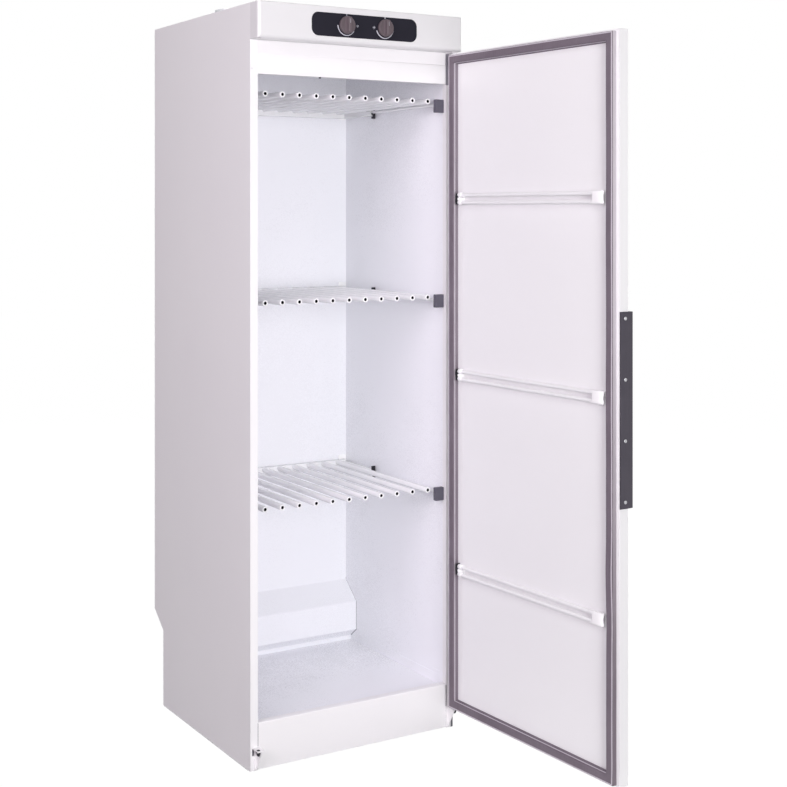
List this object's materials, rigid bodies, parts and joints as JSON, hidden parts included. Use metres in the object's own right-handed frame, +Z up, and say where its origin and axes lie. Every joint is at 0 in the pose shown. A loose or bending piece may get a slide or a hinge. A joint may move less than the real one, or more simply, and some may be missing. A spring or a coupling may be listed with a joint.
{
  "type": "drying cabinet",
  "caption": "Tall white laundry drying cabinet with an open full-height door, pull-out tube racks, door hangers, plinth and a control fascia with dials.",
  "frame": {"origin": "centre of the casing's footprint on the floor, midway between the side panels and between the stiles' front plane and the rear face", "axes": "+Z up, -Y towards the front where the door opens, +X to the right seen from the front; the door is stored open at 93 degrees, as pictured"},
  "size_m": [0.6451, 1.1787, 1.885],
  "materials": {
    "white_enamel": "satin",
    "inner_enamel": "satin",
    "galvanised": "satin",
    "screw_steel": "satin",
    "white_plastic": "satin",
    "anthracite_plastic": "matt",
    "knob_plastic": "matt",
    "grey_plastic": "matt",
    "dark_plastic": "matt",
    "rack_enamel": "gloss",
    "gasket_rubber": "matt",
    "handle_aluminium": "satin",
    "element_steel": "matt",
    "insulation": "matt",
    "rubber_black": "matt"
  },
  "bodies": {
    "cabinet": {"left_side_panel": "white_enamel", "right_side_panel": "white_enamel", "back_panel": "galvanised", "lower_back_panel": "galvanised", "back_screws": "screw_steel", "top_panel": "white_enamel", "header_panel": "white_enamel", "plinth": "white_enamel", "base_frame": "galvanised", "levelling_feet": "screw_steel", "inner_left_wall": "inner_enamel", "inner_right_wall": "inner_enamel", "inner_back_wall": "inner_enamel", "floor_tray": "inner_enamel", "ceiling_panel": "inner_enamel", "fascia": "white_plastic", "control_insert": "anthracite_plastic", "timer": "dark_plastic", "mode_selector": "dark_plastic", "door_switch": "dark_plastic", "upper_hinge_bracket": "white_enamel", "lower_hinge_bracket": "white_enamel", "spare_hinge_bracket": "white_enamel", "hinge_pins": "screw_steel", "rack_rails": "rack_enamel", "front_rail_blocks": "grey_plastic", "exhaust_duct": "galvanised", "blower_housing": "galvanised", "blower_motor": "screw_steel", "heater_duct": "galvanised", "heating_element": "element_steel", "overheat_cutout": "dark_plastic", "terminal_box": "dark_plastic", "cable_gland": "rubber_black"},
    "door": {"door_outer_skin": "white_enamel", "door_core": "insulation", "door_inner_panel": "inner_enamel", "door_gasket": "gasket_rubber", "door_bushes": "screw_steel", "door_handle": "handle_aluminium", "handle_screws": "screw_steel", "hanger_brackets": "white_plastic", "hanger_pins": "screw_steel"},
    "low_rack": {"low_rack_tubes": "rack_enamel", "low_rack_frame": "rack_enamel", "low_rack_bushes": "dark_plastic"},
    "mid_rack": {"mid_rack_tubes": "rack_enamel", "mid_rack_frame": "rack_enamel", "mid_rack_bushes": "dark_plastic"},
    "top_rack": {"top_rack_tubes": "rack_enamel", "top_rack_frame": "rack_enamel", "top_rack_bushes": "dark_plastic"},
    "low_hanger": {"low_door_hanger": "rack_enamel"},
    "mid_hanger": {"mid_door_hanger": "rack_enamel"},
    "top_hanger": {"top_door_hanger": "rack_enamel"},
    "timer_dial": {"timer_knob": "knob_plastic", "timer_shaft": "screw_steel"},
    "mode_dial": {"mode_knob": "knob_plastic", "mode_shaft": "screw_steel"},
    "blower_rotor": {"blower_wheel": "dark_plastic"}
  },
  "joints": [
    {"name": "door_hinge", "type": "hinge", "parent": "cabinet", "child": "door", "pos_m": [0.287, -0.304, 0.9], "axis": [0, 0, 1], "range_deg": [-93, 25]},
    {"name": "low_rack_slide", "type": "slide", "parent": "cabinet", "child": "low_rack", "axis": [0, -1, 0], "range_m": [0, 0.27]},
    {"name": "mid_rack_slide", "type": "slide", "parent": "cabinet", "child": "mid_rack", "axis": [0, -1, 0], "range_m": [0, 0.27]},
    {"name": "top_rack_slide", "type": "slide", "parent": "cabinet", "child": "top_rack", "axis": [0, -1, 0], "range_m": [0, 0.27]},
    {"name": "low_hanger_swing", "type": "hinge", "parent": "door", "child": "low_hanger", "pos_m": [0.26913, -0.349, 0.427], "axis": [0, 0, -1], "range_deg": [0, 90]},
    {"name": "mid_hanger_swing", "type": "hinge", "parent": "door", "child": "mid_hanger", "pos_m": [0.26913, -0.349, 0.924], "axis": [0, 0, -1], "range_deg": [0, 90]},
    {"name": "top_hanger_swing", "type": "hinge", "parent": "door", "child": "top_hanger", "pos_m": [0.26913, -0.349, 1.373], "axis": [0, 0, -1], "range_deg": [0, 90]},
    {"name": "timer_turn", "type": "hinge", "parent": "cabinet", "child": "timer_dial", "pos_m": [-0.052, -0.325, 1.7965], "axis": [0, 1, 0], "range_deg": [0, 300]},
    {"name": "mode_turn", "type": "hinge", "parent": "cabinet", "child": "mode_dial", "pos_m": [0.06, -0.325, 1.7965], "axis": [0, 1, 0], "range_deg": [0, 270]},
    {"name": "blower_spin", "type": "hinge", "parent": "cabinet", "child": "blower_rotor", "pos_m": [0.095, 0.098, 1.76], "axis": [0, 0, 1], "continuous": true}
  ]
}
